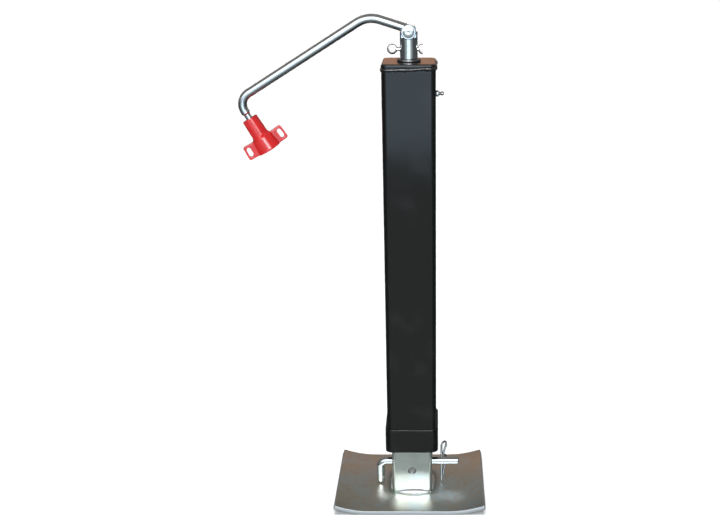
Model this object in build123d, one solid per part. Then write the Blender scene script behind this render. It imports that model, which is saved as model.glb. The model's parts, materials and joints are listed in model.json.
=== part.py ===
from build123d import *
import os
from math import cos, radians, sin, tan

# Top-wind trailer tongue jack, retracted, with its crank folded down to the left.
# Millimetres. Origin: underside of the foot plate, on the axis of the square tubes. +Z up, +X right.

# ---- driving dimensions ----
TUBE = 76.2  # outer tube, 3 in square
WALL = 4.76  # 3/16 in wall of both tubes
TUBE_BOTTOM = 82.5
TUBE_TOP = 678.0
TUBE_CORNER = 8.0
CAP = 6.35  # plate welded on the tube's end
GROUND = 0.1  # the tube's ends are ground back this far where the collar and the welds sit
CAP_WELD = 2.0  # how far the cap's bead stands out
CAP_WELD_LOW = 4.5
CAP_WELD_HIGH = 3.0
COLLAR_WALL = 3.0
COLLAR_HEIGHT = 37.0
GUIDE_WIDTH = 40.0
GUIDE_GAP = 0.4
EDGE = 0.8  # small chamfer on turned and moulded edges

LEG = 57.15  # inner tube, 2 1/4 in square
LEG_BOTTOM = 8.0
LEG_TOP = 640.0
LEG_CORNER = 7.0

SOCKET = 63.5  # square socket of the foot, 2 1/2 in square
SOCKET_WALL = 2.9
SOCKET_TOP = 77.0
SOCKET_CORNER = 6.0
PLATE_LENGTH = 235.7
PLATE_DEPTH = 176.0
PLATE = 6.35
PLATE_OFFSET = -3.0  # the plate sits a little off the tube's axis
PLATE_FLAT = 60.0  # half length of the flat middle
PLATE_CURL = 165.0  # radius of the curled ends
PLATE_CORNER = 5.0
FOOT_WELD = 5.5  # leg of the fillet runs round the socket
FOOT_WELD_RUN = 46.0

PIN_Z = 45.2
PIN = 12.7  # 1/2 in bent pin
PIN_RIGHT = 74.3
PIN_LEG_X = -51.8
PIN_LEG_END = 8.4
PIN_BEND = 10.0
CLIP_X = 46.6
CLIP_WIRE = 3.2
CLIP_TURN = 42.0  # clip plane, turned from the plane across the pin
PIN_FIT = 0.09  # radial clearance of the pin in its holes
CROSS_FIT = 0.2

SCREW = 25.4  # Acme screw, 5 threads to the inch
PITCH = 5.08
SCREW_END = 206.0
THREAD_LOW = 226.0
THREAD_HIGH = 652.0
JOURNAL = 19.05
STUB = 15.8  # turned-down end of the screw inside the crank socket
STUB_TOP = 712.9
SCREW_COLLAR = 19.0  # radius of the collar that rests on the lower race
STOP_SEAT = 7.5  # radius of the screw's end under the thread
STOP_PIN = 2.5
STOP_PIN_RISE = 6.0
NUT = 22.0
NUT_HEIGHT = 35.0
NUT_PLATE = 6.0
THREAD_FIT = 0.05

RACE = 2.9
RACE_OUT = 22.0
RACE_BORE_FIT = 0.3
RACE_GAP = 0.05
BALL = 3.15
BALL_COUNT = 12
BALL_CIRCLE = 16.0
CAGE_OUT = 20.5
CAGE_IN = 11.0
LOWER_RACE_BASE = TUBE_TOP - RACE - 0.1 - 2 * BALL - RACE - RACE_GAP
BALL_Z = LOWER_RACE_BASE + RACE + RACE_GAP + BALL
BUSHING = 13.0

CRANK_SOCKET = 25.0
CRANK_SOCKET_BASE = 687.5
PIVOT_Z = 725.5
EAR_RADIUS = 10.5
EAR_WIDTH = 26.0
SLOT = 13.2
HEAD_LIP = 0.5  # the slot's lips end this far under the pivot
HEAD_NECK = 8.0
WASHER = 17.0
RIVET_HEAD = 8.2
RIVET_RISE = 1.8
COTTER_Z = 701.0
COTTER_WIRE = 2.7
COTTER_HOLE = 2.85
COTTER_EXIT = 12.9
COTTER_EYE = 15.0
ROD = 12.7  # crank rod
SPINDLE = 9.5
ROD_OFFSET = 3.0  # the rod's line passes this far over the pivot
SHORT_LEG_RISE = 17.5
ARM_FALL = 32.0
UPPER_BEND = 38.0
LOWER_BEND = 19.0
ARM_POINT = (-199.24, 657.85)  # X and Z of a point on the arm's centre line

GRIP_TOP = (-230.36, 602.4)  # X and Z of the centre of the grip's neck end
GRIP_TILT = 30.6  # grip axis from the vertical
GRIP_LENGTH = 53.0
GRIP_NECK_RADIUS = 11.0
GRIP_SKIRT_RADIUS = 17.0
GRIP_NECK_END = 27.0
GRIP_TURN = -15.0  # the wings' plane, turned about the grip's axis
GRIP_RECESS = 9.5
WING_REACH = 31.0
WING_ROOT = 10.0
WING_LOW = 30.5
WING_HIGH = 51.0
WING_THICK = 8.0
WING_SWEEP = 6.0  # the wings lean this far back towards the neck
WING_CORNER = 4.0
WINDOW_LENGTH = 13.5
WINDOW_WIDTH = 6.2
WINDOW_SHIFT = 4.8

NIPPLE_Z = 638.3
NIPPLE_SHANK = 3.2

PARTS = {}


def at(x, y, z):
    return Pos(x, y, z)


def along_x(x, y, z):
    """Place whose local Z runs along +X."""
    return Pos(x, y, z) * Rot(0, 90, 0)


def along_y(x, y, z):
    """Place whose local Z runs along -Y."""
    return Pos(x, y, z) * Rot(90, 0, 0)


def rod_z(radius, low, high):
    """Round bar on the Z axis between two heights."""
    return at(0, 0, (low + high) / 2) * Cylinder(radius, high - low)


def square_bar(side, corner, low, high):
    return at(0, 0, low) * extrude(RectangleRounded(side, side, corner), high - low)


def square_tube(side, corner, wall, low, high):
    inner = square_bar(side - 2 * wall, max(corner - wall, 1.0), low - 1, high + 1)
    return square_bar(side, corner, low, high) - inner


def fillet_band(side, corner, low, leg):
    """Flat-faced fillet bead round a square tube: a frustum that narrows upward."""
    foot = Plane.XY.offset(low) * RectangleRounded(side + 2 * leg, side + 2 * leg, corner + leg)
    head = Plane.XY.offset(low + leg) * RectangleRounded(side + 0.2, side + 0.2, corner + 0.1)
    return loft([foot, head]) - square_bar(side, corner, low - 1, low + leg + 1)


def wire(path, radius):
    """Round wire along a path of straight runs and tangent arcs."""
    section = Plane(origin=path @ 0, z_dir=path % 0) * Circle(radius)
    return sweep(section, path=path)


# ---- outer body ----
def outer_tube():
    """Tube with plain flats between the collar's weld and the cap's weld."""
    flat_low = TUBE_BOTTOM + COLLAR_HEIGHT + COLLAR_WALL
    flat_high = TUBE_TOP - CAP_WELD_LOW
    ends = square_bar(TUBE - 2 * GROUND, TUBE_CORNER - GROUND, TUBE_BOTTOM, TUBE_TOP)
    flats = square_bar(TUBE, TUBE_CORNER, flat_low, flat_high)
    inside = square_bar(TUBE - 2 * WALL, TUBE_CORNER - WALL, TUBE_BOTTOM - 1, TUBE_TOP + 1)
    nipple_hole = along_x(TUBE / 2, 0, NIPPLE_Z) * Cylinder(NIPPLE_SHANK, 4 * WALL)
    return ends + flats - inside - nipple_hole


def top_cap():
    plate = square_bar(TUBE, TUBE_CORNER, TUBE_TOP, TUBE_TOP + CAP)
    plate = fillet(plate.faces().sort_by(Axis.Z)[-1].edges(), 2.5)
    return plate - rod_z(BUSHING, TUBE_TOP - 1, TUBE_TOP + CAP + 1)


def cap_weld():
    low = TUBE_TOP - CAP_WELD_LOW
    side = TUBE + 2 * CAP_WELD
    bead = square_bar(side, TUBE_CORNER + CAP_WELD, low, TUBE_TOP + CAP_WELD_HIGH)
    bead = chamfer(bead.edges().filter_by(Plane.XY), CAP_WELD - GROUND)
    bead -= square_bar(TUBE, TUBE_CORNER, TUBE_TOP, TUBE_TOP + CAP)
    return bead - square_bar(TUBE - 2 * GROUND, TUBE_CORNER - GROUND, low - 1, TUBE_TOP)


def lower_collar():
    side = TUBE + 2 * COLLAR_WALL
    top = TUBE_BOTTOM + COLLAR_HEIGHT
    collar = square_bar(side, TUBE_CORNER + COLLAR_WALL, TUBE_BOTTOM, top)
    return collar - square_bar(TUBE - 2 * GROUND, TUBE_CORNER - GROUND, TUBE_BOTTOM - 1, top + 1)


def collar_weld():
    side = TUBE - 2 * GROUND
    leg = COLLAR_WALL - GROUND
    return fillet_band(side, TUBE_CORNER - GROUND, TUBE_BOTTOM + COLLAR_HEIGHT, leg)


def lower_guides():
    """Four slide pads on the inside walls of the outer tube's mouth."""
    gap = TUBE / 2 - WALL
    thick = gap - LEG / 2 - GUIDE_GAP
    rise = 20.0
    height = 34.0
    pads = []
    for turn in range(4):
        pad = at(gap - thick / 2, 0, TUBE_BOTTOM + rise) * Box(thick, GUIDE_WIDTH, height)
        pads.append(Rot(0, 0, 90 * turn) * pad)
    return Compound(children=pads)


def grease_nipple():
    """Ball-ended grease nipple with a hexagon, its shank through the tube wall."""
    face = TUBE / 2
    hexagon_radius = 4.6
    hexagon_height = 4.0
    neck_height = 4.0
    ball_radius = 2.9
    ball_centre = face + hexagon_height + neck_height + 1.0
    shank = along_x(face - WALL / 2, 0, NIPPLE_Z) * Cylinder(NIPPLE_SHANK, WALL)
    hexagon = along_x(face, 0, NIPPLE_Z) * extrude(RegularPolygon(hexagon_radius, 6), hexagon_height)
    neck_centre = face + hexagon_height + neck_height / 2
    neck = along_x(neck_centre, 0, NIPPLE_Z) * Cone(NIPPLE_SHANK, 2.2, neck_height)
    ball = at(ball_centre, 0, NIPPLE_Z) * Sphere(ball_radius)
    mouth = along_x(ball_centre + ball_radius, 0, NIPPLE_Z) * Cylinder(0.8, ball_radius)
    return shank + hexagon + neck + ball - mouth


def cap_bushing():
    bush = rod_z(BUSHING, TUBE_TOP, TUBE_TOP + CAP)
    return bush - rod_z(JOURNAL / 2 + THREAD_FIT, TUBE_TOP - 1, TUBE_TOP + CAP + 1)


# ---- thrust bearing under the cap ----
def race(low):
    ring = rod_z(RACE_OUT, low, low + RACE)
    return ring - rod_z(JOURNAL / 2 + RACE_BORE_FIT, low - 1, low + RACE + 1)


def ball_places(radius):
    return PolarLocations(radius, BALL_COUNT)


def thrust_balls():
    balls = [Pos(0, 0, BALL_Z) * place * Sphere(BALL) for place in ball_places(BALL_CIRCLE)]
    return Compound(children=balls)


def ball_cage():
    thick = 2.0
    pocket_fit = 0.15
    ring = at(0, 0, BALL_Z) * (Cylinder(CAGE_OUT, thick) - Cylinder(CAGE_IN, 2 * thick))
    for place in ball_places(BALL_CIRCLE):
        ring -= Pos(0, 0, BALL_Z) * place * Cylinder(BALL + pocket_fit, 2 * thick)
    return ring


# ---- screw and crank socket ----
def lift_screw():
    """Screw in one turned outline: stop seat, threads as rings at the true pitch, collar, journal, stub."""
    core = SCREW / 2 - PITCH / 2
    crest = 0.37 * PITCH
    slope = 0.13 * PITCH
    seat_top = THREAD_LOW - 2
    outline = [
        (0, SCREW_END),
        (STOP_SEAT - 0.5, SCREW_END),
        (STOP_SEAT, SCREW_END + 0.5),
        (STOP_SEAT, seat_top),
        (core, seat_top),
    ]
    turns = int((THREAD_HIGH - THREAD_LOW) / PITCH)
    for turn in range(turns):
        z = THREAD_LOW + turn * PITCH
        outline.append((core, z))
        outline.append((SCREW / 2, z + slope))
        outline.append((SCREW / 2, z + slope + crest))
        outline.append((core, z + 2 * slope + crest))
    outline.append((core, THREAD_HIGH))
    outline.append((SCREW_COLLAR, THREAD_HIGH))
    outline.append((SCREW_COLLAR, LOWER_RACE_BASE))
    outline.append((JOURNAL / 2, LOWER_RACE_BASE))
    outline.append((JOURNAL / 2, CRANK_SOCKET_BASE))
    outline.append((STUB / 2, CRANK_SOCKET_BASE))
    outline.append((STUB / 2, STUB_TOP))
    outline.append((0, STUB_TOP))
    face = Plane.XZ * make_face(Polyline(*outline, close=True))
    screw = revolve(face, Axis.Z)
    screw -= along_x(0, 0, COTTER_Z) * Cylinder(COTTER_HOLE, 2 * STUB)
    return screw - along_x(0, 0, SCREW_END + STOP_PIN_RISE) * Cylinder(STOP_PIN, 2 * SCREW)


def socket_washer():
    low = TUBE_TOP + CAP + 0.1
    ring = rod_z(WASHER, low, CRANK_SOCKET_BASE)
    return ring - rod_z(JOURNAL / 2 + RACE_BORE_FIT, low - 1, CRANK_SOCKET_BASE + 1)


def crank_socket():
    """Sleeve for the screw's end, with a slotted head for the crank's eye."""
    neck_top = PIVOT_Z - HEAD_NECK
    lip_top = PIVOT_Z - HEAD_LIP
    radius = CRANK_SOCKET / 2
    across = 2 * CRANK_SOCKET
    sleeve = rod_z(radius, CRANK_SOCKET_BASE, neck_top)
    sleeve = chamfer(sleeve.faces().sort_by(Axis.Z)[0].edges(), EDGE)
    head = along_y(0, 0, PIVOT_Z) * Cylinder(EAR_RADIUS, EAR_WIDTH)
    head = chamfer(head.edges().filter_by(GeomType.CIRCLE), EDGE)
    web = rod_z(radius, neck_top, lip_top)
    web &= at(0, 0, lip_top - HEAD_NECK / 2) * Box(across, SLOT, HEAD_NECK)
    body = sleeve + head + web
    body -= along_y(0, 0, PIVOT_Z) * Cylinder(EAR_RADIUS - 0.1, SLOT)
    body -= at(0, 0, lip_top + EAR_RADIUS) * Box(across, SLOT, 2 * EAR_RADIUS)
    body -= along_y(0, 0, PIVOT_Z) * Cylinder(SPINDLE / 2 + THREAD_FIT, across)
    body -= rod_z(STUB / 2 + THREAD_FIT, CRANK_SOCKET_BASE - 1, STUB_TOP + 0.1)
    return body - along_x(0, 0, COTTER_Z) * Cylinder(COTTER_HOLE, across)


def pivot_rivet():
    """Rivet of the folding crank, with a low domed head at each end."""
    shank = along_y(0, 0, PIVOT_Z) * Cylinder(SPINDLE / 2, EAR_WIDTH)
    heads = []
    for side in (-1, 1):
        centre = side * (EAR_WIDTH + RIVET_RISE) / 2
        head = along_y(0, centre, PIVOT_Z) * Cylinder(RIVET_HEAD, RIVET_RISE)
        outer = head.faces().sort_by(Axis.Y)[0 if side < 0 else -1]
        heads.append(fillet(outer.edges(), RIVET_RISE - 0.3))
    return shank + heads[0] + heads[1]


def socket_cotter():
    """Split pin through the socket: an eye on the left, two spread legs on the right."""
    half = COTTER_WIRE / 2 + 0.01
    spread = 75.0
    bend = 3.5
    neck_bend = 4.0
    eye_bend = 6.0
    eye_turn = 57.6
    rise = 2 * bend * (1 - cos(radians(spread)))
    tip_x = COTTER_EXIT + 2 * bend * sin(radians(spread))
    with BuildLine(Plane.XZ) as path:
        JernArc((tip_x, COTTER_Z + half + rise), (-1, 0), bend, spread)
        JernArc(path.line @ 1, path.line % 1, bend, -spread)
        Line(path.line @ 1, (-COTTER_EYE, COTTER_Z + half))
        JernArc(path.line @ 1, (-1, 0), neck_bend, -eye_turn)
        JernArc(path.line @ 1, path.line % 1, eye_bend, 180 + 2 * eye_turn)
        JernArc(path.line @ 1, path.line % 1, neck_bend, -eye_turn)
        Line(path.line @ 1, (COTTER_EXIT, COTTER_Z - half))
        JernArc(path.line @ 1, (1, 0), bend, -spread)
        JernArc(path.line @ 1, path.line % 1, bend, spread)
    return wire(path.line, COTTER_WIRE / 2)


def stop_washer():
    """Washer under the last thread: it stops the nut at full extension."""
    high = THREAD_LOW - 2.0
    low = high - 5.0
    return rod_z(SCREW_COLLAR, low, high) - rod_z(STOP_SEAT + THREAD_FIT, low - 1, high + 1)


def stop_pin():
    """Rolled spring pin across the screw, under the stop washer."""
    length = 34.0
    return along_x(0, 0, SCREW_END + STOP_PIN_RISE) * (Cylinder(STOP_PIN, length) - Cylinder(1.4, length + 2))


# ---- folding crank ----
def meet(first, first_angle, second, second_angle):
    """Point where two lines in the XZ plane meet, each given by a point and an angle in degrees."""
    ax, az = first
    bx, bz = second
    slope_a = tan(radians(first_angle))
    slope_b = tan(radians(second_angle))
    x = (bz - az + slope_a * ax - slope_b * bx) / (slope_a - slope_b)
    return x, az + slope_a * (x - ax)


def grip_point(distance):
    """X and Z of a point on the grip's axis, measured from the neck end towards the skirt."""
    tilt = radians(GRIP_TILT)
    return GRIP_TOP[0] + distance * sin(tilt), GRIP_TOP[1] - distance * cos(tilt)


def grip_place():
    """Place on the neck end whose local Z runs along the grip's axis, towards the skirt."""
    return Pos(GRIP_TOP[0], 0, GRIP_TOP[1]) * Rot(0, 180 - GRIP_TILT, 0)


def crank_rod():
    """Rod from its eye over the pivot, through two bends, to a turned-down spindle for the grip."""
    rise = radians(SHORT_LEG_RISE)
    lead = 2.0
    start_x = ROD_OFFSET * sin(rise) - lead * cos(rise)
    start_z = PIVOT_Z + ROD_OFFSET * cos(rise) + lead * sin(rise)
    start = (start_x, start_z)
    upper = meet(start, -SHORT_LEG_RISE, ARM_POINT, ARM_FALL)
    lower = meet(ARM_POINT, ARM_FALL, GRIP_TOP, GRIP_TILT - 90)
    shoulder_gap = 9.0
    shoulder = grip_point(-shoulder_gap)
    with BuildLine(Plane.XZ) as path:
        FilletPolyline(start, upper, lower, shoulder, radius=[UPPER_BEND, LOWER_BEND])
    rod = wire(path.line, ROD / 2)
    eye = along_y(0, 0, PIVOT_Z) * Cylinder(EAR_RADIUS - 0.5, ROD - 0.3)
    spindle = grip_place() * rod_z(SPINDLE / 2, -shoulder_gap - 0.5, 48.0)
    cone = grip_place() * at(0, 0, 1 - shoulder_gap) * Cone(ROD / 2, SPINDLE / 2, 2.0)
    crank = rod + eye + cone + spindle
    return crank - along_y(0, 0, PIVOT_Z) * Cylinder(SPINDLE / 2 + THREAD_FIT, 2 * ROD)


def grip_wing(side):
    """Flat wing with a slotted window, leaning back towards the neck."""
    width = WING_REACH - WING_ROOT
    outline = RectangleRounded(width, WING_HIGH - WING_LOW, WING_CORNER)
    window = Pos(side * WINDOW_SHIFT, 0) * SlotOverall(WINDOW_LENGTH, WINDOW_WIDTH, rotation=90)
    wing = Rot(90, 0, 0) * extrude(outline - window, WING_THICK / 2, both=True)
    root = at(side * WING_ROOT, 0, (WING_LOW + WING_HIGH) / 2)
    return root * Rot(0, side * WING_SWEEP, 0) * at(side * width / 2, 0, 0) * wing


def grip():
    """Moulded grip: neck, bell-shaped skirt and two wings with a window in each."""
    with BuildSketch(Plane.XZ) as profile:
        with BuildLine():
            outline = [
                (0, 0),
                (GRIP_NECK_RADIUS - 1, 0),
                (GRIP_NECK_RADIUS, 1),
                (GRIP_NECK_RADIUS + EDGE, GRIP_NECK_END),
                (GRIP_SKIRT_RADIUS - 2.8, GRIP_NECK_END + 5),
                (GRIP_SKIRT_RADIUS, GRIP_LENGTH - 3),
                (GRIP_SKIRT_RADIUS - EDGE, GRIP_LENGTH),
                (0, GRIP_LENGTH),
            ]
            Polyline(*outline, close=True)
        make_face()
    body = revolve(profile.sketch, Axis.Z)
    body += grip_wing(-1) + grip_wing(1)
    body -= rod_z(SPINDLE / 2 + 0.1, -1, GRIP_LENGTH + 1)
    body -= rod_z(GRIP_RECESS, GRIP_LENGTH - 10, GRIP_LENGTH + 1)
    return grip_place() * Rot(0, 0, GRIP_TURN) * body


def grip_retainer():
    """Push-on disc that holds the grip on its spindle."""
    low = GRIP_LENGTH - 9.6
    thick = 1.2
    disc = rod_z(GRIP_RECESS - 1, low, low + thick) - rod_z(SPINDLE / 2, low - 1, low + thick + 1)
    return grip_place() * disc


# ---- leg ----
def leg_tube():
    tube = square_tube(LEG, LEG_CORNER, WALL, LEG_BOTTOM, LEG_TOP)
    return tube - along_x(0, 0, PIN_Z) * Cylinder(PIN / 2 + PIN_FIT, 2 * LEG)


def nut_plate():
    high = LEG_TOP + NUT_PLATE
    plate = square_bar(LEG, LEG_CORNER, LEG_TOP, high)
    return plate - rod_z(SCREW / 2 + THREAD_FIT, LEG_TOP - 1, high + 1)


def lift_nut():
    low = LEG_TOP - NUT_HEIGHT
    return rod_z(NUT, low, LEG_TOP) - rod_z(SCREW / 2 + THREAD_FIT, low - 1, LEG_TOP + 1)


def leg_guides():
    """Four slide pads on the outside walls of the leg's top end."""
    thick = TUBE / 2 - WALL - LEG / 2 - GUIDE_GAP
    drop = 20.0
    height = 36.0
    pads = []
    for turn in range(4):
        pad = at((LEG + thick) / 2, 0, LEG_TOP - drop) * Box(thick, GUIDE_WIDTH, height)
        pads.append(Rot(0, 0, 90 * turn) * pad)
    return Compound(children=pads)


# ---- foot ----
def foot_socket():
    tube = square_tube(SOCKET, SOCKET_CORNER, SOCKET_WALL, PLATE, SOCKET_TOP)
    tube -= along_x(0, 0, PIN_Z) * Cylinder(PIN / 2 + PIN_FIT, 2 * SOCKET)
    return tube - along_y(0, 0, PIN_Z) * Cylinder(PIN / 2 + CROSS_FIT, 2 * SOCKET)


def foot_plate():
    """Plate with a flat middle and both ends curled up, corners rounded."""
    reach = PLATE_LENGTH / 2
    sweep_angle = 21.0
    with BuildSketch(Plane.XZ) as profile:
        with BuildLine():
            low = CenterArc((PLATE_FLAT, PLATE_CURL), PLATE_CURL, -90, sweep_angle)
            high = CenterArc((PLATE_FLAT, PLATE_CURL), PLATE_CURL - PLATE, -90, sweep_angle)
            Line((0, 0), low @ 0)
            Line((0, PLATE), high @ 0)
            Line(low @ 1, high @ 1)
            Line((0, 0), (0, PLATE))
        make_face()
    half = extrude(profile.sketch, PLATE_DEPTH / 2, both=True)
    curled = half + mirror(half, Plane.YZ)
    outline = extrude(RectangleRounded(2 * reach, PLATE_DEPTH, PLATE_CORNER), 10 * PLATE, both=True)
    return Pos(PLATE_OFFSET, 0, 0) * (curled & outline)


def foot_weld():
    """One fillet run on each side of the socket; its rounded corners are left bare."""
    band = fillet_band(SOCKET, SOCKET_CORNER, PLATE, FOOT_WELD)
    across = Box(FOOT_WELD_RUN, 2 * SOCKET, 4 * PLATE) + Box(2 * SOCKET, FOOT_WELD_RUN, 4 * PLATE)
    return band & across


def foot_pin():
    """Bent pin through the foot socket and the leg, its short leg hanging on the left."""
    with BuildLine(Plane.XZ) as path:
        FilletPolyline((PIN_RIGHT, PIN_Z), (PIN_LEG_X, PIN_Z), (PIN_LEG_X, PIN_LEG_END), radius=PIN_BEND)
    pin = wire(path.line, PIN / 2)
    ends = pin.faces().filter_by(GeomType.PLANE)
    for end in (ends.sort_by(Axis.X)[-1], ends.sort_by(Axis.Z)[0]):
        rim = pin.edges().filter_by(GeomType.CIRCLE).sort_by_distance(end.center())[0]
        pin = chamfer(rim, 2 * EDGE)
    return pin - at(CLIP_X, 0, PIN_Z) * Cylinder(CLIP_WIRE / 2 + 0.1, 2 * PIN)


def hairpin():
    """Spring clip: a straight leg through the pin, an eye on top and a leg bulged round the pin."""
    runs = [
        (0, -35.6),
        (0, 31.7),
        (11.2, 31.7),
        (11.2, 23.5),
        (3.4, 10.6),
        (10.8, 4.8),
        (10.8, -6.0),
        (3.4, -22.5),
        (7.2, -34.0),
    ]
    with BuildLine(Plane.XZ) as path:
        FilletPolyline(*runs, radius=[5.6, 5.59, 8.0, 3.0, 4.0, 12.0, 8.0])
    clip = wire(path.line, CLIP_WIRE / 2)
    return Pos(CLIP_X, 0, PIN_Z) * Rot(0, 0, 90 - CLIP_TURN) * clip


PARTS["outer_tube"] = outer_tube()
PARTS["top_cap"] = top_cap()
PARTS["cap_weld"] = cap_weld()
PARTS["lower_collar"] = lower_collar()
PARTS["collar_weld"] = collar_weld()
PARTS["lower_guides"] = lower_guides()
PARTS["grease_nipple"] = grease_nipple()
PARTS["cap_bushing"] = cap_bushing()
PARTS["upper_race"] = race(TUBE_TOP - RACE)
PARTS["lower_race"] = race(LOWER_RACE_BASE)
PARTS["thrust_balls"] = thrust_balls()
PARTS["ball_cage"] = ball_cage()
PARTS["lift_screw"] = lift_screw()
PARTS["stop_washer"] = stop_washer()
PARTS["stop_pin"] = stop_pin()
PARTS["socket_washer"] = socket_washer()
PARTS["crank_socket"] = crank_socket()
PARTS["socket_cotter"] = socket_cotter()
PARTS["pivot_rivet"] = pivot_rivet()
PARTS["crank_rod"] = crank_rod()
PARTS["grip"] = grip()
PARTS["grip_retainer"] = grip_retainer()
PARTS["leg_tube"] = leg_tube()
PARTS["nut_plate"] = nut_plate()
PARTS["lift_nut"] = lift_nut()
PARTS["leg_guides"] = leg_guides()
PARTS["foot_socket"] = foot_socket()
PARTS["foot_plate"] = foot_plate()
PARTS["foot_weld"] = foot_weld()
PARTS["foot_pin"] = foot_pin()
PARTS["hairpin"] = hairpin()

os.makedirs("parts", exist_ok=True)
for name, shape in PARTS.items():
    export_step(shape, f"parts/{name}.step")
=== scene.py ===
import json
from math import acos, cos, pi, radians, sin

import bmesh
import bpy
from mathutils import Matrix, Vector, noise


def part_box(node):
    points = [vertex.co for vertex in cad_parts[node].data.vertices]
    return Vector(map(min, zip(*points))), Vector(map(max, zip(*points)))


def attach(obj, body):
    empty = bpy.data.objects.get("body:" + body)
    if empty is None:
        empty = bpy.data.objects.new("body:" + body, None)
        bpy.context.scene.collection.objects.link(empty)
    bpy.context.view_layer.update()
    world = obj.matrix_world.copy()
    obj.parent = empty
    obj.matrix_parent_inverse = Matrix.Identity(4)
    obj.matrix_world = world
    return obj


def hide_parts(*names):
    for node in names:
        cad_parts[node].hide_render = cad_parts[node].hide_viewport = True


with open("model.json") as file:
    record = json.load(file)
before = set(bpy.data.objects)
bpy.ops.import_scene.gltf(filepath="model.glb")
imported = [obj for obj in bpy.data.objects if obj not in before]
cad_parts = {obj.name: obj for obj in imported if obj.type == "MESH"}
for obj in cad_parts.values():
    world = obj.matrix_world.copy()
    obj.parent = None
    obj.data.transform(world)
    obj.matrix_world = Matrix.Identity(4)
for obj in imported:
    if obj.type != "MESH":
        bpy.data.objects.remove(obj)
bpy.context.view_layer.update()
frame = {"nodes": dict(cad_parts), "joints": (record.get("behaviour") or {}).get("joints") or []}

# ---- Floor, light and camera ----
# The jack stands on plain white studio paper under one broad soft light from above. Soft panels in front
# and a low warm one behind give bright metal and gloss enamel their form; the room beside them is dim.
MM = 0.001
FLOOR_REACH = 40.0
SUN_ANGLE = radians(44)
SUN_POWER = 2.9
PANELS = {
    "low_panel": dict(centre=(0.0, -2.5, 0.31), size=(1.9, 0.62), colour=(0.56, 0.78, 1.0), radiance=1.3),
    "high_panel": dict(centre=(-0.4, -2.5, 2.2), size=(4.6, 2.8), colour=(0.88, 0.95, 1.0), radiance=1.8),
    "key_panel": dict(centre=(0.05, -1.8, 1.2), size=(0.9, 0.55), colour=(0.97, 0.98, 1.0), radiance=8.0),
    "warm_panel": dict(centre=(0.0, 8.0, 1.76), size=(9.0, 0.9), colour=(1.0, 0.36, 0.13), radiance=0.48),
}
ROOM_FRONT = (0.4, 0.43, 0.42)
ROOM_SIDE = (0.07, 0.08, 0.085)
ROOM_ABOVE = (0.2, 0.195, 0.182)
EYE = Vector((0.0418, -1.4562, 0.8799))
EYE_PITCH = radians(18.7)
LENS = 50.97
SHIFT = -0.109
scene = bpy.context.scene


class Number:
    """The output of a node, with operators, so that shader maths reads as an expression."""

    def __init__(self, tree, socket):
        self.tree = tree
        self.socket = socket

    def __add__(self, other):
        return self.tree.maths("ADD", self, other)

    def __radd__(self, other):
        return self.tree.maths("ADD", other, self)

    def __sub__(self, other):
        return self.tree.maths("SUBTRACT", self, other)

    def __rsub__(self, other):
        return self.tree.maths("SUBTRACT", other, self)

    def __mul__(self, other):
        return self.tree.maths("MULTIPLY", self, other)

    def __rmul__(self, other):
        return self.tree.maths("MULTIPLY", other, self)


class Tree:
    """The node tree of a material or a world, with one method that adds any node."""

    def __init__(self, owner):
        owner.use_nodes = True
        self.owner = owner
        self.tree = owner.node_tree

    def fix(self, constants):
        """Sets constants on the sockets of the material's own shader."""
        for socket, value in constants.items():
            self.tree.nodes["Principled BSDF"].inputs[socket.replace("_", " ")].default_value = value

    def feed(self, socket, value):
        """Gives a socket its value, or a link from another node."""
        if isinstance(value, Number):
            self.tree.links.new(value.socket, socket)
        else:
            socket.default_value = value

    def node(self, kind, settings, sockets, output=0):
        """Adds any node: its settings first, then the values or links of its sockets."""
        made = self.tree.nodes.new("ShaderNode" + kind)
        for setting, value in settings.items():
            setattr(made, setting, value)
        for socket, value in sockets.items():
            self.feed(made.inputs[socket], value)
        return Number(self, made.outputs[output])

    def maths(self, operation, first, second):
        return self.node("Math", {"operation": operation}, {0: first, 1: second})

    def steps(self, value, low, high):
        """A smooth rise from 0 to 1 as a value goes between two limits."""
        sockets = {"Value": value, "From Min": low, "From Max": high}
        return self.node("MapRange", {"interpolation_type": "SMOOTHSTEP"}, sockets)

    def blend(self, mask, first, second):
        """Colour that goes from the first to the second as the mask rises."""
        ends = [(*end, 1.0) if isinstance(end, tuple) else end for end in (first, second)]
        return self.node("Mix", {"data_type": "RGBA"}, {0: mask, 6: ends[0], 7: ends[1]}, 2)


def link(name, data):
    """Puts new data in the scene under a name."""
    made = bpy.data.objects.new(name, data)
    scene.collection.objects.link(made)
    return made


def stage_mesh(name, bm, **constants):
    """A floor or a backdrop that shiny metal doesn't mirror."""
    data = bpy.data.meshes.new(name)
    bm.to_mesh(data)
    bm.free()
    made = link(name, data)
    made.visible_glossy = False
    paper = Tree(bpy.data.materials.new(name))
    paper.fix(constants)
    data.materials.append(paper.owner)
    return made


def panel_light(name, centre, size, colour, radiance):
    """A rectangular soft light of a given brightness that faces the jack and isn't seen itself."""
    lamp = bpy.data.lights.new(name, "AREA")
    lamp.shape = "RECTANGLE"
    lamp.size, lamp.size_y = size
    lamp.color = colour
    lamp.energy = radiance * pi * size[0] * size[1]
    made = link(name, lamp)
    made.location = centre
    towards = Vector((0.0, 0.0, centre[2])) - Vector(centre)
    made.rotation_euler = towards.to_track_quat("-Z", "Y").to_euler()
    made.visible_camera = False


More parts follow.
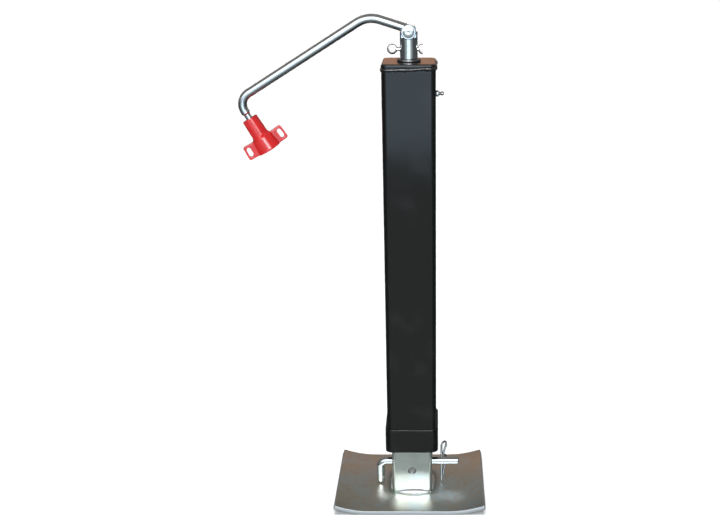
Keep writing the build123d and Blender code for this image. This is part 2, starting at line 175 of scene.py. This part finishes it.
ground = bmesh.new()
bmesh.ops.create_grid(ground, x_segments=1, y_segments=1, size=FLOOR_REACH)
stage_mesh("floor", ground, Base_Color=(0.9, 0.9, 0.9, 1.0), Roughness=0.9, Specular_IOR_Level=0.0)
wall = bmesh.new()
bmesh.ops.create_cone(
    wall, cap_ends=False, segments=64, radius1=0.9 * FLOOR_REACH, radius2=0.9 * FLOOR_REACH,
    depth=2 * FLOOR_REACH,
)
backdrop = stage_mesh(
    "backdrop", wall, Base_Color=(0.0, 0.0, 0.0, 1.0), Emission_Color=(1.0, 1.0, 1.0, 1.0),
    Emission_Strength=1.0, Specular_IOR_Level=0.0,
)
backdrop.visible_diffuse = False
backdrop.visible_shadow = False

sun = bpy.data.lights.new("overhead", "SUN")
sun.energy = SUN_POWER
sun.angle = SUN_ANGLE
link("overhead", sun).visible_glossy = False
for name, panel in PANELS.items():
    panel_light(name, **panel)

room = Tree(bpy.data.worlds.new("room"))
way = room.node("TexCoord", {}, {}, "Generated")
ahead = room.steps(room.node("SeparateXYZ", {}, {0: way}, "Y"), -0.9, -0.45)
above = room.steps(room.node("SeparateXYZ", {}, {0: way}, "Z"), -0.02, 0.02)
low_room = room.blend(ahead, ROOM_FRONT, ROOM_SIDE)
room.feed(room.tree.nodes["Background"].inputs["Color"], room.blend(above, low_room, ROOM_ABOVE))
scene.world = room.owner
scene.view_settings.view_transform = "Standard"

lens = bpy.data.cameras.new("camera")
lens.sensor_width = 36.0
lens.lens = LENS
lens.shift_x = SHIFT
lens.clip_end = 2 * FLOOR_REACH
camera = link("camera", lens)
camera.location = EYE
camera.rotation_euler = (pi / 2 - EYE_PITCH, 0.0, 0.0)
scene.camera = camera


# ---- Outer tube ----
# Three-inch square welded steel tube, dipped or sprayed in gloss black enamel. The coat is level on the
# flats, with a fine orange peel, and thinner and duller where it pulled back from the edges.
class Finish(Tree):
    """A procedural material, whose patterns lie on the places of the surface in the part's own frame."""

    def __init__(self, name, **constants):
        super().__init__(bpy.data.materials.new(name))
        self.shader = self.tree.nodes["Principled BSDF"]
        self.fix(constants)
        self.place = self.node("TexCoord", {}, {}, "Object")

    def noise(self, size, detail):
        """Soft noise whose lumps are about the given size in metres."""
        return self.node("TexNoise", {}, {"Vector": self.place, "Scale": 1.0 / size, "Detail": detail})

    def paint(self, **sockets):
        """Feeds what varies over the surface into the shader."""
        for socket, value in sockets.items():
            self.feed(self.shader.inputs[socket.replace("_", " ")], value)

    def relief(self, height, depth, eased=0.5 * MM):
        """Bump of a given depth in metres, on edges eased to a small radius, into the shader's normal."""
        edge = self.node("Bevel", {"samples": 4}, {"Radius": eased})
        bump = self.node("Bump", {}, {"Strength": 1.0, "Distance": depth, "Height": height, "Normal": edge})
        self.feed(self.shader.inputs["Normal"], bump)


def dress(finish, *names):
    """Gives CAD nodes their finish."""
    for name in names:
        for holder in frame["nodes"][name].material_slots:
            holder.material = finish.owner


def black_enamel(name, eased, lump=1.6 * MM, depth=0.012 * MM, **constants):
    """Gloss black coat over edges eased to a radius, with lumps of a given size and depth."""
    coat = Finish(name, IOR=1.5, **constants)
    peel = coat.noise(lump, 3.0)
    cloud = coat.noise(45 * MM, 4.0)
    dust = coat.noise(0.5 * MM, 1.0) * coat.steps(cloud, 0.5, 0.72)
    coat.paint(
        Base_Color=coat.blend(dust, (0.0035, 0.0036, 0.0038), (0.012, 0.012, 0.012)),
        Roughness=0.06 + 0.1 * cloud + 0.06 * dust,
    )
    coat.relief(peel, depth, eased)
    return coat


dress(black_enamel("enamel_on_tube", 0.25 * MM), "outer_tube", "top_cap")

# ---- Weld of the cap ----
# Steel bead that closes the joint between the tube's end and its cap plate. It was run by hand round all
# four sides and painted over with the tube, so that its ripples show only as broken highlights.
def finish_piece(bm, name, body, finish, stands_for, sharp=38):
    """Makes a bmesh a piece of the jack: merged, facing outwards, shaded smooth up to a sharp angle."""
    bmesh.ops.remove_doubles(bm, verts=bm.verts, dist=0.002 * MM)
    bmesh.ops.recalc_face_normals(bm, faces=bm.faces)
    data = bpy.data.meshes.new(name)
    bm.to_mesh(data)
    bm.free()
    data.shade_smooth()
    data.set_sharp_from_angle(angle=radians(sharp))
    data.materials.append(finish.owner)
    made = link(name, data)
    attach(made, body)
    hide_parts(stands_for)


class Bar:
    """A bar drawn in steps along one plane: a ring of edges is extruded, moved, turned and swelled."""

    def __init__(self, bm, ring, start, heading, normal):
        self.bm = bm
        self.ring = ring
        self.point = Vector(start)
        self.heading = Vector(heading).normalized()
        self.normal = Vector(normal).normalized()
        self.travel = 0.0
        self.size = 1.0

    def verts(self):
        return list({vert for edge in self.ring for vert in edge.verts})

    def push(self):
        made = bmesh.ops.extrude_edge_only(self.bm, edges=self.ring)["geom"]
        self.ring = [item for item in made if isinstance(item, bmesh.types.BMEdge)]

    def swell(self, size):
        """Scales the ring about the bar's axis to a size relative to the first ring."""
        space = Matrix.Translation(-self.point)
        ratio = size / self.size
        bmesh.ops.scale(self.bm, verts=self.verts(), vec=(ratio, ratio, ratio), space=space)
        self.size = size

    def run(self, length, steps=1, size=None):
        """Goes straight on. The size is a function of the travelled length."""
        for _ in range(steps):
            self.push()
            shift = self.heading * (length / steps)
            bmesh.ops.translate(self.bm, verts=self.verts(), vec=shift)
            self.point += shift
            self.travel += length / steps
            if size:
                self.swell(size(self.travel))
        return self

    def bend(self, radius, angle, steps, size=None):
        """Goes round an arc. A positive angle turns towards normal x heading."""
        side = 1.0 if angle > 0 else -1.0
        centre = self.point + self.normal.cross(self.heading) * (radius * side)
        turn = Matrix.Rotation(angle / steps, 3, self.normal)
        for _ in range(steps):
            self.push()
            bmesh.ops.rotate(self.bm, verts=self.verts(), cent=centre, matrix=turn)
            self.point = centre + turn @ (self.point - centre)
            self.heading = turn @ self.heading
            self.travel += radius * abs(angle) / steps
            if size:
                self.swell(size(self.travel))
        return self


def ring_of(bm, radius, count, place):
    """A circle of edges on a place whose local Z is the way ahead."""
    made = bmesh.ops.create_circle(bm, cap_ends=False, radius=radius, segments=count, matrix=place)
    return list({edge for vert in made["verts"] for edge in vert.link_edges})


def facing(start, heading, across):
    """Place at a point whose local Z is the heading and whose local X is as near as can be to across."""
    ahead = Vector(heading).normalized()
    side = (Vector(across) - ahead * ahead.dot(Vector(across))).normalized()
    turn = Matrix((side, ahead.cross(side), ahead)).transposed()
    return Matrix.Translation(start) @ turn.to_4x4()


SIDE_RUN = 60 * MM
RIPPLE = 2.6 * MM


def weld_round(name, half, height, radius, flat, lumps, sag, finish, stands_for):
    """A painted bead run by hand right round a square tube. It is lower on the left by its sag."""
    bm = bmesh.new()
    corner = half - SIDE_RUN / 2
    start = Vector((half, -SIDE_RUN / 2, height))
    ring = ring_of(bm, radius, 12, facing(start, (0, 1, 0), (1, 0, 0)))
    bar = Bar(bm, ring, start, (0, 1, 0), (0, 0, 1))

    def size(travel):
        wander = noise.noise(Vector((travel / (9 * MM), height, 0.0)))
        crest = abs(sin(pi * travel / RIPPLE))
        return 0.95 + 0.05 * crest + lumps * wander

    for _ in range(4):
        bar.run(SIDE_RUN, 84, size)
        bar.bend(corner, pi / 2, 14, size)
    bmesh.ops.remove_doubles(bm, verts=bm.verts, dist=0.3 * MM)
    for vert in bm.verts:
        drift = noise.noise(Vector((vert.co.x / (17 * MM), vert.co.y / (17 * MM), height)))
        sunk = sag * (half - vert.co.x) / (2 * half)
        vert.co.z = height + (vert.co.z - height) * flat + lumps * radius * drift - sunk
    finish_piece(bm, name, "outer_body", finish, stands_for)


CAP_BEAD = 3.4 * MM
CAP_RISE = 1.0 * MM
tube_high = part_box("outer_tube")[1]
bead_low, bead_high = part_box("cap_weld")
weld_round(
    "cap_weld_bead", bead_high.x - CAP_BEAD, (bead_low.z + bead_high.z) / 2 + CAP_RISE, radius=CAP_BEAD,
    flat=1.0, lumps=0.42, sag=2.6 * MM, stands_for="cap_weld",
    finish=black_enamel(
        "enamel_on_weld", 0.3 * MM, lump=4.5 * MM, depth=0.9 * MM, Coat_Weight=1.0, Coat_Roughness=0.04
    ),
)

# ---- Weld of the collar ----
# Painted fillet bead that holds the reinforcing sleeve to the tube along the sleeve's top edge. It lies
# back from the sleeve's edge, which catches the light below it.
COLLAR_BEAD = 1.7 * MM
collar_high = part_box("lower_collar")[1]
sleeve_enamel = black_enamel("enamel_on_sleeve", 1.2 * MM)
dress(sleeve_enamel, "lower_collar")
weld_round(
    "collar_weld_bead", tube_high.x, collar_high.z, radius=COLLAR_BEAD, flat=1.0, lumps=0.2, sag=0.0,
    stands_for="collar_weld", finish=sleeve_enamel,
)


# ---- Grease nipple ----
# Turned steel nipple, zinc plated, screwed into the tube's right wall to grease the screw. It has a hexagon
# for the spanner, a tapered neck and a ball head with a small mouth.
def patchy(name, patch, colours, dull, depth, grain=None, eased=0.5 * MM, banks=None, **constants):
    """A finish whose colour and gloss drift in patches under a fine grain.

    The patches and the grain are each a size in metres and a detail. Dull is the lowest roughness, and what
    the patches and the grain add to it. Banks are the limits between which one colour goes over into the
    other. Without a grain of its own, a finish is as fine as its patches."""
    finish = Finish(name, **constants)
    drift = finish.noise(*patch)
    fine = finish.noise(*grain) if grain else drift
    finish.paint(
        Base_Color=finish.blend(finish.steps(drift, *banks) if banks else drift, *colours),
        Roughness=dull[0] + dull[1] * drift + dull[2] * fine,
    )
    finish.relief(fine, depth, eased)
    return finish


zinc = patchy(
    "bright_zinc", patch=(14 * MM, 4.0), grain=(0.7 * MM, 2.0), banks=(0.35, 0.65),
    colours=((0.7, 0.73, 0.76), (0.83, 0.84, 0.83)), dull=(0.07, 0.08, 0.05), depth=0.01 * MM, Metallic=1.0,
)


def turn_profile(bm, points, place, count=40):
    """A turned solid: a closed profile of (radius, height) points spun right round local Z."""
    verts = [bm.verts.new(place @ Vector((radius, 0.0, height))) for radius, height in points]
    edges = [bm.edges.new(pair) for pair in zip(verts, verts[1:] + verts[:1])]
    axis = place.to_3x3() @ Vector((0, 0, 1))
    bmesh.ops.spin(
        bm, geom=verts + edges, cent=place.translation, axis=axis, dvec=(0, 0, 0), angle=2 * pi,
        steps=count, use_merge=True, use_duplicate=False,
    )


def round_edges(bm, width, segments=2, sharper_than=40):
    """Bevels every edge that turns more than an angle in degrees."""
    limit = radians(sharper_than)
    edges = [edge for edge in bm.edges if edge.is_manifold and edge.calc_face_angle(0) > limit]
    bmesh.ops.bevel(
        bm, geom=edges, offset=width, offset_type="OFFSET", affect="EDGES", segments=segments,
        profile=0.5, material=-1, clamp_overlap=True,
    )


HEX_RADIUS = 4.6 * MM
HEX_HEIGHT = 3.6 * MM
NECK_START = 3.0 * MM
NECK_RADII = (3.3 * MM, 2.2 * MM)
BALL = 2.9 * MM
MOUTH = 0.8 * MM
MOUTH_DEPTH = 1.6 * MM
CORE = 0.05 * MM
nipple_low, nipple_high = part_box("grease_nipple")
nipple_place = facing((tube_high.x, 0, (nipple_low.z + nipple_high.z) / 2), (1, 0, 0), (0, 1, 0))
reach = nipple_high.x - tube_high.x
nipple = bmesh.new()
bmesh.ops.create_cone(
    nipple, cap_ends=True, cap_tris=False, segments=6, radius1=HEX_RADIUS, radius2=HEX_RADIUS,
    depth=HEX_HEIGHT, matrix=nipple_place @ Matrix.Translation((0, 0, HEX_HEIGHT / 2)),
)
round_edges(nipple, 0.35 * MM)
outline = [(CORE, NECK_START), (NECK_RADII[0], NECK_START), (NECK_RADII[0], NECK_START + 1.0 * MM)]
outline.append((NECK_RADII[1], reach - 5.2 * MM))
for step in range(7):
    angle = radians(-48 + 20 * step)
    outline.append((BALL * cos(angle), reach - BALL + BALL * sin(angle)))
outline += [(MOUTH, reach - 0.3 * MM), (MOUTH, reach - MOUTH_DEPTH), (CORE, reach - MOUTH_DEPTH)]
turn_profile(nipple, outline, nipple_place, 28)
finish_piece(nipple, "grease_nipple_turned", "outer_body", zinc, "grease_nipple")

# ---- Crank socket and its washer ----
# Zinc-plated sleeve that fits over the screw's end, with a slotted cross-bored head for the crank's eye. It
# turns on a dished steel washer laid on the cap.
dress(zinc, "crank_socket")
WASHER_BORE = 9.9 * MM
washer_low, washer_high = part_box("socket_washer")
washer_outline = [
    (WASHER_BORE, washer_low.z), (washer_high.x, washer_low.z),
    (washer_high.x, washer_high.z), (WASHER_BORE, washer_high.z),
]
washer = bmesh.new()
turn_profile(washer, washer_outline, Matrix.Identity(4), 64)
round_edges(washer, 0.8 * MM, 3)
dark_steel = patchy(
    "oiled_steel", patch=(9 * MM, 4.0), grain=(0.6 * MM, 2.0),
    colours=((0.2, 0.2, 0.205), (0.34, 0.335, 0.33)), dull=(0.22, 0.16, 0.06), depth=0.02 * MM, Metallic=1.0,
)
finish_piece(washer, "socket_washer_disc", "screw_and_socket", dark_steel, "socket_washer")

# ---- Split pin of the socket ----
# Half-round zinc-plated wire folded on itself into an eye, pushed through the socket from the left. Its two
# legs are bent apart on the right.
cotter_low, cotter_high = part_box("socket_cotter")
cotter_level = (cotter_low.z + cotter_high.z) / 2
COTTER_RADIUS = 2.7 * MM
NECK_BEND = 3.0 * MM
EYE_BEND = 4.6 * MM
LEG_BEND = 3.4 * MM
LEG_SPREAD = radians(72)
LEG_REACH = 6.8 * MM
eye_turn = acos(NECK_BEND / (NECK_BEND + EYE_BEND))
cotter_exit = cotter_high.x - LEG_REACH
eye_start = cotter_low.x + COTTER_RADIUS + EYE_BEND + (NECK_BEND + EYE_BEND) * sin(eye_turn)
tip_rise = 2 * LEG_BEND * (1 - cos(LEG_SPREAD))
tip_reach = 2 * LEG_BEND * sin(LEG_SPREAD)
cotter = bmesh.new()
tip = Vector((cotter_exit + tip_reach, 0, cotter_level + tip_rise))
tip_place = facing(tip, (-1, 0, 0), (0, 1, 0))
wire_ring = ring_of(cotter, COTTER_RADIUS, 24, tip_place)
for vert in {vert for edge in wire_ring for vert in edge.verts}:
    vert.co.z = max(vert.co.z, tip.z)
leg = Bar(cotter, wire_ring, tip, (-1, 0, 0), (0, -1, 0))
leg.bend(LEG_BEND, LEG_SPREAD, 10).bend(LEG_BEND, -LEG_SPREAD, 10)
leg.run(leg.point.x - eye_start, 1)
leg.bend(NECK_BEND, -eye_turn, 8).bend(EYE_BEND, pi + 2 * eye_turn, 40).bend(NECK_BEND, -eye_turn, 8)
leg.run(cotter_exit - leg.point.x, 1)
leg.bend(LEG_BEND, -LEG_SPREAD, 10).bend(LEG_BEND, LEG_SPREAD, 10)
bmesh.ops.holes_fill(cotter, edges=cotter.edges, sides=0)
finish_piece(cotter, "socket_split_pin", "screw_and_socket", zinc, "socket_cotter")

# ---- Pivot rivet ----
# Zinc-plated steel rivet that the crank folds on. Each end is set over into a low domed head with a small
# punch mark in the middle.
rivet_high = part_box("pivot_rivet")[1]
joints = {joint["name"]: joint for joint in frame["joints"]}
pivot = Vector(joints["crank_fold"]["pos_m"])
rivet_radius = rivet_high.x
RIVET_HEAD = 1.5 * MM
RIVET_SHANK = 4.7 * MM
RIVET_SPAN = 21 * MM
RIM = 0.2 * MM
PUNCH = 1.6 * MM
RIVET_CORE = 0.02 * MM
rivet = bmesh.new()
for end in (-1, 1):
    head_place = facing((0, end * (rivet_high.y - RIVET_HEAD), pivot.z), (0, end, 0), (1, 0, 0))
    dome = [(RIVET_CORE, -RIM), (rivet_radius, -RIM)]
    for step in range(7):
        radius = rivet_radius - step * (rivet_radius - PUNCH) / 6
        dome.append((radius, RIM + (RIVET_HEAD - RIM) * (1 - (radius / rivet_radius) ** 3)))
    dome += [(PUNCH - 0.6 * MM, 1.1 * MM), (RIVET_CORE, 1.0 * MM)]
    turn_profile(rivet, dome, head_place, 48)
shank_place = facing((0, -RIVET_SPAN / 2, pivot.z), (0, 1, 0), (1, 0, 0))
shank = [(RIVET_CORE, 0.0), (RIVET_SHANK, 0.0), (RIVET_SHANK, RIVET_SPAN), (RIVET_CORE, RIVET_SPAN)]
turn_profile(rivet, shank, shank_place, 32)
finish_piece(rivet, "pivot_rivet_set", "screw_and_socket", zinc, "pivot_rivet")

# ---- Crank ----
# Half-inch steel rod, cold bent twice and zinc plated, with a drilled eye at the pivot and a turned-down
# spindle under the grip.
rod_zinc = patchy(
    "zinc_on_drawn_rod", patch=(22 * MM, 4.0), grain=(1.0 * MM, 3.0),
    colours=((0.66, 0.72, 0.78), (0.84, 0.86, 0.86)), dull=(0.08, 0.08, 0.06), depth=0.012 * MM, Metallic=1.0,
)
dress(rod_zinc, "crank_rod", "foot_pin", "grip_retainer")

# ---- Grip ----
# Red plastic moulded in one piece: a tapered neck, a bell-shaped skirt and two wings with a slot through
# each. It turns on the spindle. All its edges are rounded by the mould.
GRIP_VOXEL = 0.42 * MM
SMOOTH_PASSES = 5
GRIP_TURN = radians(-15)
NECK = 11.5
SKIRT = 17.2
BORE = 4.85
RECESS = 9.5
NECK_END = 27.0
SKIRT_START = 32.0
RECESS_FLOOR = 43.0
GRIP_END = 53.0
WING_COLUMNS = (9.8, 22.9, 29.2, 32.3)
WING_ROWS = (31.3, 35.0, 48.9, 52.6)
WING_HALF = 4.1
WING_SWEEP = radians(3.5)
WING_CORNER = 3.0
spin_joint = joints["grip_spin"]
grip_place = facing(spin_joint["pos_m"], spin_joint["axis"], (1, 0, 0)) @ Matrix.Rotation(GRIP_TURN, 4, "Z")
neck_points = [
    (BORE, 0.0), (NECK - 0.8, 0.0), (NECK, 0.8), (NECK + 0.7, NECK_END), (SKIRT - 2.1, SKIRT_START),
]
skirt_points = [
    (SKIRT, GRIP_END - 1.5), (SKIRT - 0.3, GRIP_END), (RECESS, GRIP_END), (RECESS, RECESS_FLOOR),
    (BORE, RECESS_FLOOR),
]
grip_outline = [(radius * MM, height * MM) for radius, height in neck_points + skirt_points]
grip = bmesh.new()
turn_profile(grip, grip_outline, Matrix.Identity(4), 96)
for side in (-1, 1):
    made = bmesh.ops.create_grid(grip, x_segments=3, y_segments=3, size=1.0)["verts"]
    for vert in made:
        column = round((vert.co.x + 1) * 1.5)
        row = round((vert.co.y + 1) * 1.5)
        vert.co = Vector((side * WING_COLUMNS[column], -WING_HALF, WING_ROWS[row])) * MM
    inside = Vector((side * sum(WING_COLUMNS[1:3]), -2 * WING_HALF, sum(WING_ROWS[1:3]))) * (MM / 2)
    panes = [face for face in grip.faces if set(face.verts) <= set(made)]
    panes.sort(key=lambda face: (face.calc_center_median() - inside).length)
    bmesh.ops.delete(grip, geom=panes[:1], context="FACES_ONLY")
    risen = bmesh.ops.extrude_face_region(grip, geom=panes[1:])["geom"]
    raised = [item for item in risen if isinstance(item, bmesh.types.BMVert)]
    bmesh.ops.translate(grip, verts=raised, vec=(0, 2 * WING_HALF * MM, 0))
    root = Vector((side * WING_COLUMNS[0], 0, sum(WING_ROWS[1:3]) / 2)) * MM
    lean = Matrix.Rotation(side * WING_SWEEP, 3, "Y")
    bmesh.ops.rotate(grip, verts=made + raised, cent=root, matrix=lean)
    corners = []
    for edge in {edge for vert in made for edge in vert.link_edges}:
        low, high = sorted(vert.co.y for vert in edge.verts)
        through = high - low > WING_HALF * MM and edge.calc_face_angle(0) > radians(60)
        if through and abs(edge.verts[0].co.x) > SKIRT * MM:
            corners.append(edge)
    bmesh.ops.bevel(
        grip, geom=corners, offset=WING_CORNER * MM, offset_type="OFFSET", affect="EDGES", segments=6,
        profile=0.5, material=-1, clamp_overlap=True,
    )
bmesh.ops.recalc_face_normals(grip, faces=grip.faces)
rough_grip = bpy.data.meshes.new("grip_rough")
grip.to_mesh(rough_grip)
grip.free()
blank = link("grip_blank", rough_grip)
remesh = blank.modifiers.new("skin", "REMESH")
remesh.mode = "VOXEL"
remesh.voxel_size = GRIP_VOXEL
bpy.context.view_layer.update()
skinned = bpy.data.meshes.new_from_object(blank.evaluated_get(bpy.context.evaluated_depsgraph_get()))
bpy.data.objects.remove(blank)
grip = bmesh.new()
grip.from_mesh(skinned)
for _ in range(SMOOTH_PASSES):
    bmesh.ops.smooth_vert(
        grip, verts=grip.verts, factor=0.5, use_axis_x=True, use_axis_y=True, use_axis_z=True
    )
bmesh.ops.transform(grip, matrix=grip_place, verts=grip.verts)
red_plastic = patchy(
    "glossy_red_plastic", patch=(12 * MM, 3.0), grain=(0.9 * MM, 2.0),
    colours=((0.44, 0.008, 0.01), (0.56, 0.016, 0.018)), dull=(0.14, 0.08, 0.04), depth=0.02 * MM, IOR=1.55,
    Coat_Weight=0.6, Coat_Roughness=0.12, Subsurface_Weight=0.08, Subsurface_Scale=2 * MM,
)
finish_piece(grip, "grip_moulding", "grip", red_plastic, "grip", sharp=180)

# ---- Foot plate ----
# Quarter-inch steel plate with both ends curled up in a press so that it slides over the ground, sheared
# edges eased, zinc plated after welding. The plating is mottled where it dried, and painted shade darkens it
# round the socket's foot.
plate_low, plate_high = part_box("foot_plate")
PLATE = 6.35 * MM
PLATE_FLAT = 60 * MM
PLATE_CURL = 165 * MM
PLATE_CORNER = 5 * MM
# Band of painted shade round the socket's foot: how square its corners are, and where it starts and ends
# fading.
SHADE_RING_SQUARE = 5.0
SHADE_RING_INNER = 35 * MM
SHADE_RING_OUTER = 47 * MM
plate_middle = (plate_low.x + plate_high.x) / 2
plate_reach = (plate_high.x - plate_low.x) / 2
CURL_ANGLE = radians(21)
plate = bmesh.new()
back = plate.verts.new((plate_middle, plate_high.y, 0))
front = plate.verts.new((plate_middle, plate_low.y, 0))
middle_edge = plate.edges.new((front, back))
for side in (-1, 1):
    made = bmesh.ops.extrude_edge_only(plate, edges=[middle_edge])["geom"]
    ends = [item for item in made if isinstance(item, bmesh.types.BMVert)]
    bmesh.ops.translate(plate, verts=ends, vec=(side * PLATE_FLAT, 0, 0))
    rim = [item for item in made if isinstance(item, bmesh.types.BMEdge) and set(item.verts) == set(ends)]
    bmesh.ops.spin(
        plate, geom=rim + ends, cent=(plate_middle + side * PLATE_FLAT, 0, PLATE_CURL), axis=(0, -side, 0),
        dvec=(0, 0, 0), angle=CURL_ANGLE, steps=24, use_merge=False, use_duplicate=False,
    )
for side in (-1, 1):
    bmesh.ops.bisect_plane(
        plate, geom=plate.verts[:] + plate.edges[:] + plate.faces[:], dist=0.01 * MM,
        plane_co=(plate_middle + side * plate_reach, 0, 0), plane_no=(side, 0, 0), clear_outer=True,
    )
bmesh.ops.remove_doubles(plate, verts=plate.verts, dist=0.01 * MM)
bmesh.ops.recalc_face_normals(plate, faces=plate.faces)
if sum(face.normal.z for face in plate.faces) > 0:
    bmesh.ops.reverse_faces(plate, faces=plate.faces)
corners = [vert for vert in plate.verts if len(vert.link_edges) == 2]
bmesh.ops.bevel(
    plate, geom=corners, offset=PLATE_CORNER, offset_type="OFFSET", affect="VERTICES", segments=6,
    profile=0.5, material=-1, clamp_overlap=False,
)
bmesh.ops.solidify(plate, geom=plate.faces[:], thickness=PLATE)
round_edges(plate, 0.7 * MM, 2, 50)
plate_zinc = Finish("zinc_on_plate", Metallic=1.0)
patch = plate_zinc.noise(38 * MM, 3.0)
stain = plate_zinc.noise(9 * MM, 4.0)
spangle = plate_zinc.noise(1.4 * MM, 2.0)
upright = plate_zinc.node("TexCoord", {}, {}, "Normal")
level = plate_zinc.maths("ABSOLUTE", plate_zinc.node("SeparateXYZ", {}, {0: upright}, "Z"), 0.0)
sheared = 1.0 - plate_zinc.steps(level, 0.25, 0.75)
clean = plate_zinc.blend(plate_zinc.steps(patch, 0.38, 0.62), (0.75, 0.73, 0.645), (0.73, 0.785, 0.78))
mottled = plate_zinc.blend(plate_zinc.steps(stain, 0.5, 0.75), clean, (0.75, 0.65, 0.57))
across, along = (
    plate_zinc.maths("ABSOLUTE", plate_zinc.node("SeparateXYZ", {}, {0: plate_zinc.place}, axis), 0.0)
    for axis in "XY"
)
# Painted shade: a rounded square band round the socket's foot darkens the plate towards green-black and makes
# it rougher. It fades out between the inner and outer distances.
rounded = plate_zinc.maths("POWER", across, SHADE_RING_SQUARE) + plate_zinc.maths("POWER", along, SHADE_RING_SQUARE)
ragged = plate_zinc.maths("POWER", rounded, 1 / SHADE_RING_SQUARE) + 0.003 * stain
socket_shade = 1.0 - plate_zinc.steps(ragged, SHADE_RING_INNER, SHADE_RING_OUTER)
shaded_mottle = plate_zinc.blend(0.7 * socket_shade, mottled, (0.2, 0.25, 0.2))
plate_zinc.paint(
    Base_Color=plate_zinc.blend(sheared, shaded_mottle, (0.95, 0.98, 1.0)),
    Roughness=0.24 + 0.12 * patch + 0.1 * stain + 0.04 * spangle + 0.22 * sheared + 0.15 * socket_shade,
)
plate_zinc.relief(spangle, 0.02 * MM, 0.8 * MM)
finish_piece(plate, "foot_plate_curled", "leg_and_foot", plate_zinc, "foot_plate")

# ---- Foot socket and its welds ----
# Square tube, two and a half inches wide, stood on the plate, with cross holes for the pin. One tapering
# fillet run on each side holds it, the heaviest in front, and its rounded corners are left bare. Tube, plate
# and runs are plated together.
socket_zinc = patchy(
    "zinc_on_square_tube", patch=(30 * MM, 3.0), grain=(1.2 * MM, 2.0), banks=(0.35, 0.65),
    colours=((0.63, 0.68, 0.655), (0.7, 0.755, 0.735)), dull=(0.12, 0.08, 0.04), depth=0.012 * MM,
    eased=0.8 * MM, Metallic=1.0,
)
dress(socket_zinc, "foot_socket")


def weld_run(bm, start, heading, length, radius, seed):
    """A tapering fillet run: a rippled bead that swells from one end and dies away at the other."""
    ring = ring_of(bm, radius, 16, facing(start, heading, (0, 0, 1)))
    bar = Bar(bm, ring, start, heading, (0, 0, 1))
    bar.swell(0.12)

    def size(travel):
        swell = sin(pi * min(max(travel / length, 0.015), 0.985)) ** 0.55
        wander = noise.noise(Vector((travel / (8 * MM), seed, 0.0)))
        return swell * (0.95 + 0.07 * abs(sin(pi * travel / RUN_RIPPLE)) + 0.1 * wander)

    bar.run(length, 72, size)


RUN_RIPPLE = 2.8 * MM
RUN_LENGTHS = (54, 46, 46, 46)
RUN_RADII = (6.8, 3.4, 4.6, 3.4)
RUN_SHIFTS = (3, 0, 0, 0)
RUN_STAND = 0.4 * MM
RUN_ROOT = 2 * MM
socket_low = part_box("foot_socket")[0]
foot_weld = bmesh.new()
for index, (length, radius, shift) in enumerate(zip(RUN_LENGTHS, RUN_RADII, RUN_SHIFTS)):
    quarter = Matrix.Rotation(index * pi / 2, 3, "Z")
    start = quarter @ Vector(((shift - length / 2) * MM, socket_low.y - RUN_STAND, 0.0))
    start.z = plate_low.z + PLATE + RUN_STAND
    weld_run(foot_weld, start, quarter @ Vector((1, 0, 0)), length * MM, radius * MM, 2.0 + index)
bmesh.ops.holes_fill(foot_weld, edges=foot_weld.edges, sides=0)
for vert in foot_weld.verts:
    vert.co.z = max(vert.co.z, plate_low.z + RUN_ROOT)
weld_zinc = patchy(
    "zinc_on_weld", patch=(1.1 * MM, 3.0), colours=((0.84, 0.82, 0.83), (0.93, 0.92, 0.93)),
    dull=(0.3, 0.14, 0.0), depth=0.03 * MM, Metallic=1.0,
)
finish_piece(foot_weld, "foot_weld_runs", "leg_and_foot", weld_zinc, "foot_weld")

# ---- Hairpin ----
# Hard-drawn spring wire with a thin dull zinc plating, bent cold into an eye with one straight leg and one
# waved leg that grips the pin.
wire_zinc = patchy(
    "zinc_on_spring_wire", patch=(3 * MM, 4.0), colours=((0.4, 0.45, 0.48), (0.56, 0.6, 0.62)),
    dull=(0.16, 0.12, 0.0), depth=0.01 * MM, Metallic=1.0,
)
dress(wire_zinc, "hairpin")

# ---- Leg, nut and slide pads ----
# Inner square tube of bare oiled steel with the bronze lift nut under a plate at its top. Hard plastic pads
# guide it in the outer tube.
bronze = patchy(
    "greased_bronze", patch=(6 * MM, 4.0), colours=((0.45, 0.27, 0.11), (0.68, 0.44, 0.2)),
    dull=(0.25, 0.2, 0.0), depth=0.03 * MM, Metallic=1.0,
)
pad_plastic = patchy(
    "slide_pad_plastic", patch=(5 * MM, 3.0), colours=((0.012, 0.012, 0.012), (0.03, 0.03, 0.03)),
    dull=(0.35, 0.2, 0.0), depth=0.03 * MM, IOR=1.48,
)
dress(dark_steel, "leg_tube", "nut_plate")
dress(bronze, "lift_nut", "cap_bushing", "ball_cage")
dress(pad_plastic, "leg_guides", "lower_guides")

# ---- Lift screw and thrust bearing ----
# Acme screw hung from a ball thrust bearing under the cap, with a washer and a spring pin at its foot that
# stop the nut.
ball_steel = patchy(
    "polished_ball_steel", patch=(2 * MM, 3.0), colours=((0.5, 0.5, 0.5), (0.62, 0.62, 0.63)),
    dull=(0.06, 0.08, 0.0), depth=0.0, Metallic=1.0,
)
dress(ball_steel, "thrust_balls")
dress(dark_steel, "lift_screw", "stop_washer", "stop_pin", "upper_race", "lower_race")
